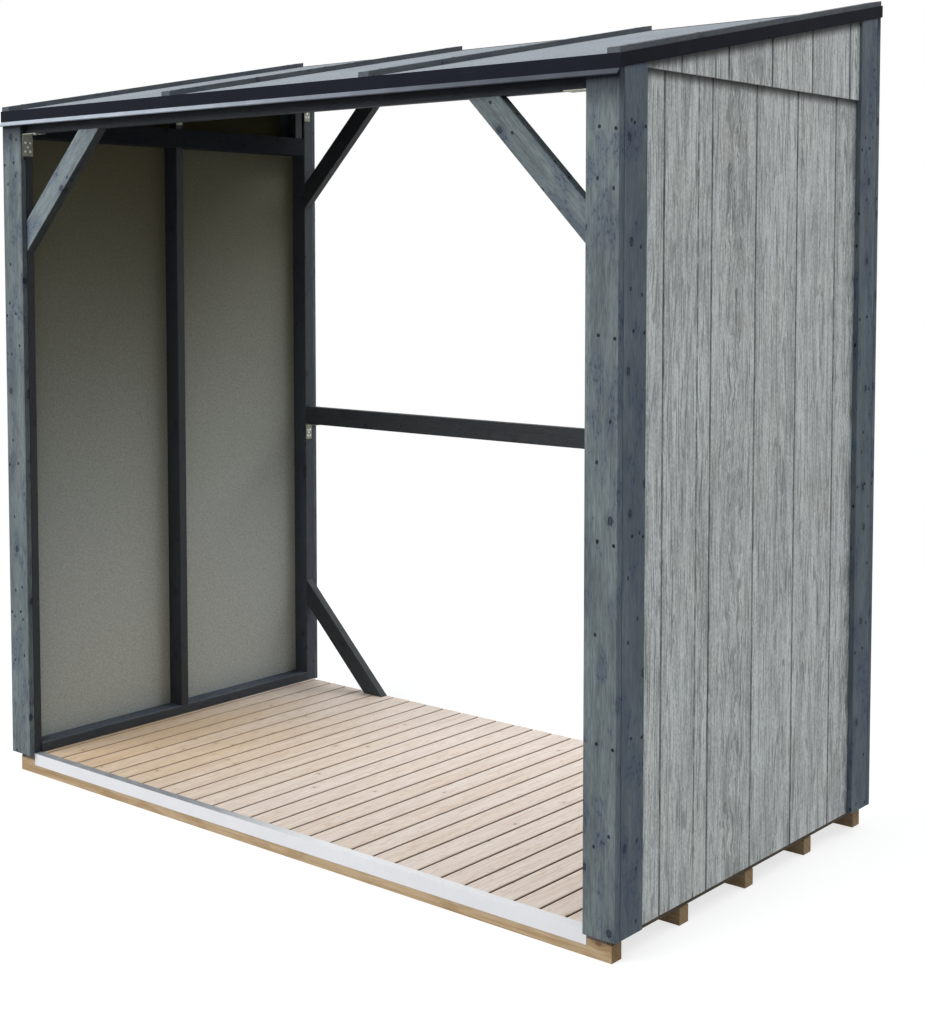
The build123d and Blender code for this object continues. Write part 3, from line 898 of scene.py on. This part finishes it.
class LOGSTORE_OT_bearers(bpy.types.Operator):
    """Finish the bearers under the floor"""

    bl_idname = "log_store.bearers"
    bl_label = "Bearers"

    def execute(self, context):
        dress(["bearers"], sawn_bearer("tan_softwood_bearers"))
        return {"FINISHED"}


class LOGSTORE_OT_roof(bpy.types.Operator):
    """Finish the roof: deck, felt and battens"""

    bl_idname = "log_store.roof"
    bl_label = "Roof covering"

    def execute(self, context):
        dress(["roof_deck"], deck_boards("raw_deck_boards"))
        dress(["roof_felt"], mineral_felt("mineral_felt_roof"))
        dress(["roof_battens"], stained_timber("slate_stain_battens", "pitched", 26.9, tone=0.60, blue=0.45))
        return {"FINISHED"}


class LOGSTORE_OT_trims(bpy.types.Operator):
    """Finish the folded metal trims"""

    bl_idname = "log_store.trims"
    bl_label = "Metal trims"

    def execute(self, context):
        hem_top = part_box("eave_trim")[0].z + context.scene.log_store.trim.hem_height
        dress(["eave_trim"], coated_sheet("dark_sheet_eave", roughness=0.50, hem_below=hem_top))
        dress(["verge_trims", "back_trim"], coated_sheet("dark_sheet_verge", roughness=0.55))
        dress(["threshold_trim"], threshold_sheet("white_sheet_threshold"))
        return {"FINISHED"}


class LOGSTORE_OT_brackets(bpy.types.Operator):
    """Finish the angle brackets and drive five nails into each leg"""

    bl_idname = "log_store.brackets"
    bl_label = "Angle brackets"

    def execute(self, context):
        sizes = context.scene.log_store.fixing
        look = context.scene.log_store.trim
        dress(["front_brackets", "purlin_brackets", "back_brackets"],
              zinc_sheet("galvanised_steel_brackets", look.zinc))
        zinc = zinc_sheet("galvanised_steel_bracket_nails", look.nail)
        along, over = np.array([(0.40, 0.27), (0.40, 0.73), (0.59, 0.50), (0.78, 0.27), (0.78, 0.73)]).T
        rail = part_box("back_rail")[0].z
        for name, node, level, leg in (
                ("front_bracket_nails", "front_brackets", None, 0.066),
                ("purlin_bracket_nails", "purlin_brackets", None, 0.041),
                ("header_bracket_nails", "back_brackets", None, 0.066),
                ("rail_bracket_nails", "back_brackets", rail, 0.054)):
            low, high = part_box(node)
            level = high.z if level is None else level
            drop, side = np.meshgrid(along * leg, list(SIDES.values()), indexing="ij")
            y = low.y + over[:, None] * (high.y - low.y)
            centres = np.concatenate([spread(side * (high.x - sizes.plate), y, level - drop),
                                      spread(side * (high.x - drop), y, level - sizes.plate)])
            facing = np.concatenate([spread(-side, 0.0, 0.0), spread(0.0 * side, 0.0, -1.0)])
            heads = nail_heads(centres, facing, sizes.bracket_head / 2, sizes.rise, sizes.plate)
            new_piece(name, heads, zinc)
        return {"FINISHED"}


class LOGSTORE_OT_board_nails(bpy.types.Operator):
    """Nail the corner boards in pairs up their height"""

    bl_idname = "log_store.board_nails"
    bl_label = "Board nails"

    def execute(self, context):
        sizes = context.scene.log_store.fixing
        steel = stained_steel("stained_nail_heads")
        inset = np.array([sizes.edge, sizes.inner])
        side_inset = np.array([sizes.side_edge, sizes.side_inner])
        pairs = sizes.first + sizes.spacing * np.arange(sizes.pairs)
        level = pairs[:, None] - np.array([sizes.drop, 0.0])
        for board in CORNER_BOARDS:
            sign = SIDES[board.rsplit("_", 1)[1]]
            outward = -1.0 if "front" in board else 1.0
            low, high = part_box(board)
            face = low.x if sign < 0 else high.x
            outer_edge, inner_edge = (low.y, high.y) if outward < 0 else (high.y, low.y)
            if board.startswith("side"):
                facing = sign, 0.0, 0.0
                centres = spread(face, inner_edge + outward * side_inset, level + sizes.side_lift)
            else:
                facing = 0.0, outward, 0.0
                centres = spread(face - sign * inset, outer_edge, level)
            heads = nail_heads(centres, facing, sizes.head / 2, sizes.rise, sizes.sink)
            new_piece(f"{board}_nails", heads, steel)
        return {"FINISHED"}


class LOGSTORE_OT_batten_nails(bpy.types.Operator):
    """Nail the roof battens along their middles"""

    bl_idname = "log_store.batten_nails"
    bl_label = "Batten nails"

    def execute(self, context):
        sizes = context.scene.log_store.fixing
        low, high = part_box("roof_battens")
        x = np.linspace(low.x + BATTEN_WIDTH / 2, high.x - BATTEN_WIDTH / 2, BATTENS)[:, None]
        y = np.linspace(low.y + BATTEN_END, high.y - BATTEN_END, sizes.batten_count)
        centres = spread(x, y, high.z + (y - high.y) * ROOF_SLOPE)
        heads = nail_heads(centres, (0.0, -ROOF_SINE, ROOF_COSINE), sizes.head / 2, sizes.rise, sizes.sink)
        steel = stained_steel("stained_batten_nail_heads")
        new_piece("roof_batten_nails", heads, steel)
        return {"FINISHED"}


class LOGSTORE_OT_stage(bpy.types.Operator):
    """Set up the camera, the lamps, the white surround and the floor"""

    bl_idname = "log_store.stage"
    bl_label = "Stage"

    def execute(self, context):
        scene = context.scene
        look = scene.log_store.stage
        scene.view_settings.view_transform = "Standard"
        camera = bpy.data.objects.new("camera", bpy.data.cameras.new("camera"))
        camera.data.lens = look.lens
        camera.data.sensor_width = 36
        camera.data.shift_y = look.shift
        camera.location = look.camera
        camera.rotation_euler = (math.pi / 2 - look.tilt, 0, look.turn)
        scene.collection.objects.link(camera)
        scene.camera = camera
        self.lamp(scene, "key_lamp", look.key_power, bearing=-22, height=36, distance=look.lamp_distance)
        self.lamp(scene, "back_lamp", look.back_power, bearing=150, height=52, distance=look.lamp_distance)
        self.surround(scene, look)
        self.floor(look)
        return {"FINISHED"}

    def lamp(self, scene, name, power, bearing, height, distance):
        """A large soft lamp that faces the store, at a bearing right of the front and a height in degrees."""
        lamp = bpy.data.objects.new(name, bpy.data.lights.new(name, "AREA"))
        lamp.data.shape = "RECTANGLE"
        lamp.data.size, lamp.data.size_y = 10.0, 8.0
        lamp.data.energy = power
        bearing, height = math.radians(bearing), math.radians(height)
        level = distance * math.cos(height)
        lamp.location = (
            level * math.sin(bearing), -level * math.cos(bearing), 1.0 + distance * math.sin(height))
        lamp.rotation_euler = (math.pi / 2 - height, 0, bearing)
        scene.collection.objects.link(lamp)

    def surround(self, scene, look):
        """Even light on the object, dimmer from below, and plain white behind it."""
        scene.world = bpy.data.worlds.new("surround")
        scene.world.use_nodes = True
        sky = Nodes(scene.world.node_tree)
        sky.tree.nodes.clear()
        up = sky.parts(sky.out(sky.node("TexCoord"), "Generated"))[2]
        rise = sky.node("MapRange", {"Value": up, "From Min": -0.10, "From Max": 0.25,
                                     "To Min": 0.15 * look.sky_strength, "To Max": look.sky_strength})
        lit = sky.node("Background", {"Color": look.sky, "Strength": sky.out(rise)})
        seen = sky.node("Background", {"Color": (1, 1, 1), "Strength": 1.0})
        chosen = sky.node("MixShader", {0: sky.looked_at(), 1: sky.out(lit), 2: sky.out(seen)})
        sky.node("OutputWorld", {"Surface": sky.out(chosen)})

    def floor(self, look):
        """A flat disc just below z = 0 that keeps the shadow near the object and fades to white far off.

        Point k of ring j is (R(j) cos a(k), R(j) sin a(k), drop): rings at set radii, evenly stepped round."""
        radius = np.array([0.6, 2.0, 4.0, 7.0, 11.0])[:, None]
        spokes, drop = 64, -0.0005
        turn = np.arange(spokes) * (2 * np.pi / spokes)
        points = spread(radius * np.cos(turn), radius * np.sin(turn), drop)
        faces = wrapped(len(radius), spokes)[:, ::-1].tolist() + [list(range(spokes))]
        finish = Finish("pale_floor")
        watched = finish.looked_at()
        x, y, _ = finish.parts(finish.place)
        from_middle = finish.math("SQRT", x * x + y * y)
        finish.coat(finish.mix(watched, look.floor_bounce, finish.dim(look.floor, 0.4)), 0.9)
        glow = finish.node("Emission", {"Strength": watched * 0.72})
        near = finish.node("AddShader", {0: finish.out(finish.shader), 1: finish.out(glow)})
        white = finish.node("Emission")
        far = finish.node("MixShader", {
            0: from_middle.span(1.9, 4.2) * watched, 1: finish.out(near), 2: finish.out(white)})
        finish.feed(finish.tree.nodes["Material Output"].inputs["Surface"], finish.out(far))
        floor = new_mesh("floor", points, faces, finish.material)


STEPS = (
    LOGSTORE_OT_stage,
    LOGSTORE_OT_corner_boards,
    LOGSTORE_OT_wall_frames,
    LOGSTORE_OT_cross_timbers,
    LOGSTORE_OT_braces,
    LOGSTORE_OT_wall_panels,
    LOGSTORE_OT_sole_strips,
    LOGSTORE_OT_floor,
    LOGSTORE_OT_bearers,
    LOGSTORE_OT_roof,
    LOGSTORE_OT_trims,
    LOGSTORE_OT_brackets,
    LOGSTORE_OT_board_nails,
    LOGSTORE_OT_batten_nails,
)


class LOGSTORE_PT_panel(bpy.types.Panel):
    """Lists the steps that finish the log store"""

    bl_idname = "LOGSTORE_PT_panel"
    bl_label = "Log store"
    bl_space_type = "VIEW_3D"
    bl_region_type = "UI"
    bl_category = "Log Store"

    def draw(self, context):
        for step in STEPS:
            self.layout.operator(step.bl_idname)


CLASSES = (StainLook, PanelLook, FloorLook, BearerLook, RoofLook, TrimLook, FixingSizes, StageLook,
           LogStoreSettings, *STEPS, LOGSTORE_PT_panel)


def register():
    for item in CLASSES:
        bpy.utils.register_class(item)
    bpy.types.Scene.log_store = PointerProperty(type=LogStoreSettings)


def unregister():
    del bpy.types.Scene.log_store
    for item in reversed(CLASSES):
        bpy.utils.unregister_class(item)


def main():
    """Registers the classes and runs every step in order."""
    register()
    for step in STEPS:
        getattr(bpy.ops.log_store, step.bl_idname.split(".")[1])()


if __name__ == "__main__":
    main()
